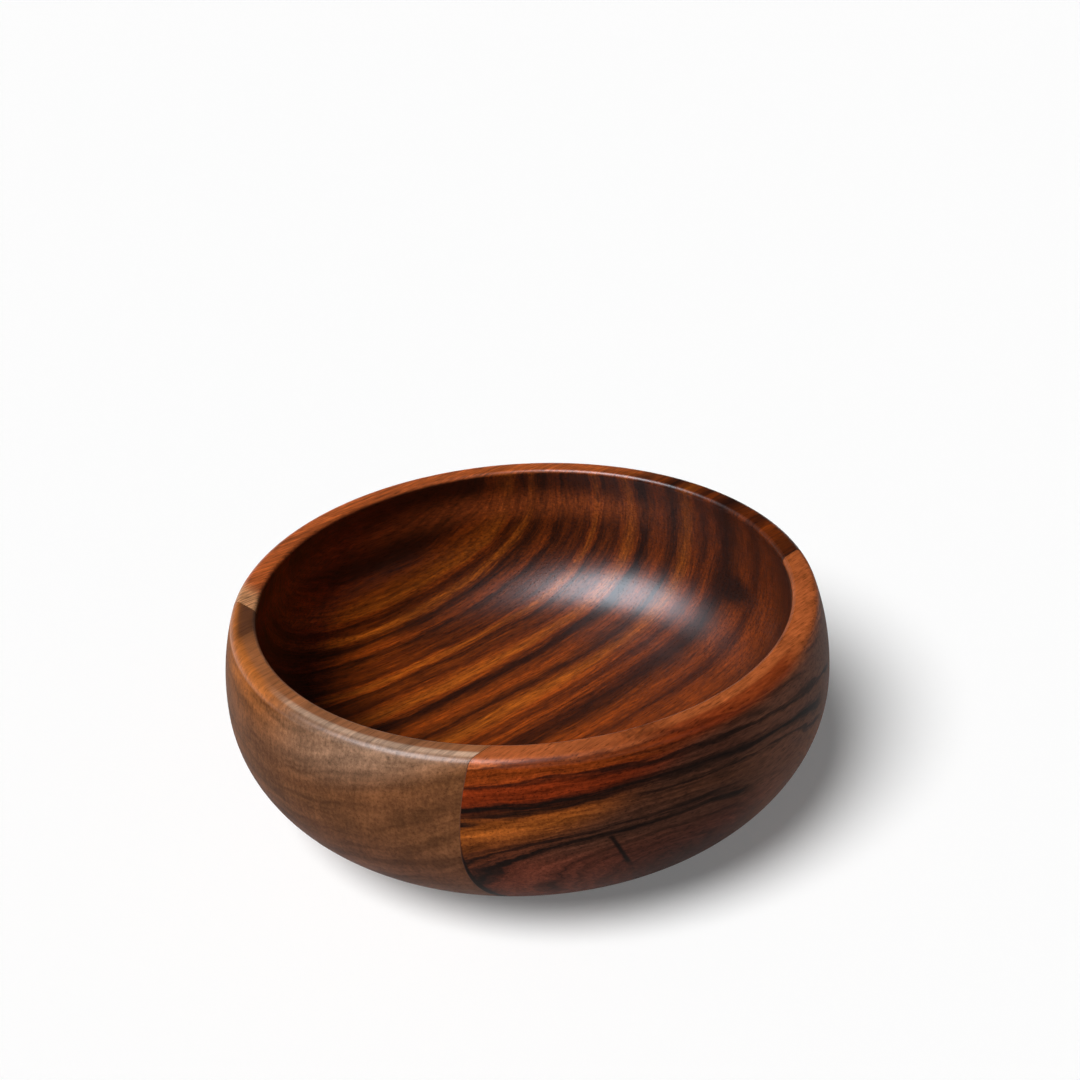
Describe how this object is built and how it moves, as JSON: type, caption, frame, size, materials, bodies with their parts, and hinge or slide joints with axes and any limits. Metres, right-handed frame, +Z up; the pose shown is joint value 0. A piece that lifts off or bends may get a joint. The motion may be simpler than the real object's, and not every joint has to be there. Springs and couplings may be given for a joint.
{
  "type": "wooden bowl",
  "caption": "Low round wooden bowl with a bulging wall, an in-leaning rim and a dished floor, turned from glued boards, for serving food.",
  "frame": {"origin": "centre of the flat base, on the surface the bowl stands on", "axes": "+Z up along the turning axis; -Y towards the viewer of the picture, +X to the viewer's right"},
  "size_m": [0.2, 0.2, 0.072],
  "materials": {
    "striped_heartwood": "satin oil",
    "rust_heartwood": "satin oil",
    "pale_wood": "satin oil",
    "glue": "cured wood glue"
  },
  "bodies": {
    "root": {"main_board": "striped_heartwood", "side_board": "rust_heartwood", "end_block": "pale_wood", "side_glue_line": "glue", "end_glue_line": "glue"}
  },
  "joints": []
}
